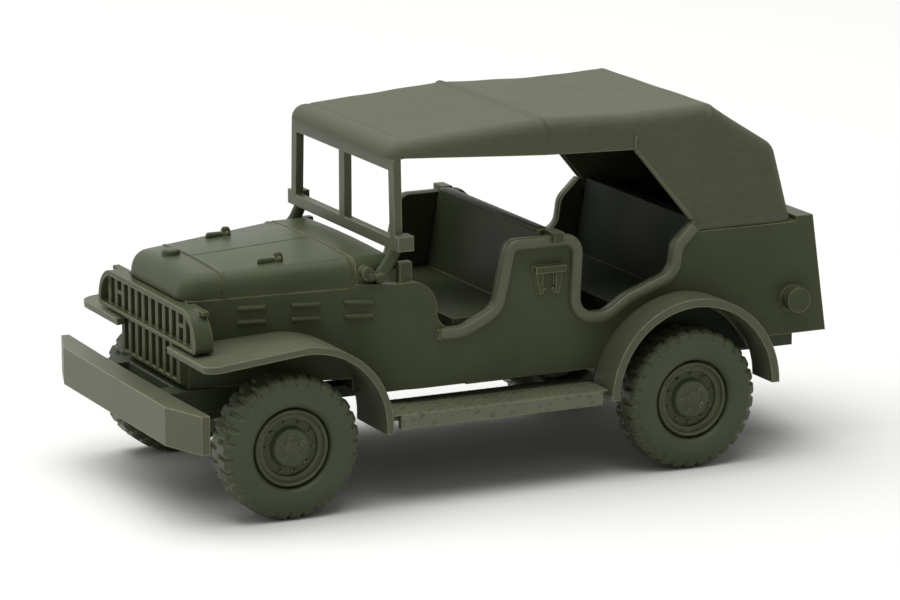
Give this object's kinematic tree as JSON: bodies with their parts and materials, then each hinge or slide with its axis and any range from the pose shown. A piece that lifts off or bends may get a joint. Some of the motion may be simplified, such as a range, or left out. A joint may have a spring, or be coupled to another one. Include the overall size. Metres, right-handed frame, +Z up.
{
  "type": "scale model of an army command car",
  "caption": "Moulded plastic scale model of a light army command car: slotted grille, folded-down sides, stiff canvas-look top, bench seats and wheels that roll on axle pins.",
  "frame": {"origin": "on the floor, below the middle of the overall length and width", "axes": "-Y is the front of the car, +X its left side, +Z up"},
  "size_m": [0.0242, 0.0478, 0.0236],
  "materials": {
    "body_plastic": "semi-matte olive",
    "top_plastic": "semi-matte olive",
    "wheel_plastic": "semi-matte olive",
    "axle_plastic": "semi-matte olive"
  },
  "bodies": {
    "chassis": {"axle_carrier_front": "body_plastic", "axle_carrier_rear": "body_plastic", "body_tub": "body_plastic", "bumper": "body_plastic", "chassis_frame": "body_plastic", "floor_tray": "body_plastic", "front_bench": "body_plastic", "front_fender_left": "body_plastic", "front_fender_right": "body_plastic", "grille": "body_plastic", "hood": "body_plastic", "rear_bench": "body_plastic", "rear_fender_left": "body_plastic", "rear_fender_right": "body_plastic", "running_board_left": "body_plastic", "running_board_right": "body_plastic", "top_shell": "top_plastic", "windscreen_arm_left": "body_plastic", "windscreen_arm_right": "body_plastic", "windscreen_frame": "body_plastic"},
    "front_wheelset": {"axle_pin_front": "axle_plastic", "wheel_front_left": "wheel_plastic", "wheel_front_right": "wheel_plastic"},
    "rear_wheelset": {"axle_pin_rear": "axle_plastic", "wheel_rear_left": "wheel_plastic", "wheel_rear_right": "wheel_plastic"}
  },
  "joints": [
    {"name": "front_axle_spin", "type": "hinge", "parent": "chassis", "child": "front_wheelset", "pos_m": [0, -0.01605, 0.00465], "axis": [1, 0, 0], "continuous": true},
    {"name": "rear_axle_spin", "type": "hinge", "parent": "chassis", "child": "rear_wheelset", "pos_m": [0, 0.01255, 0.00465], "axis": [1, 0, 0], "continuous": true}
  ]
}
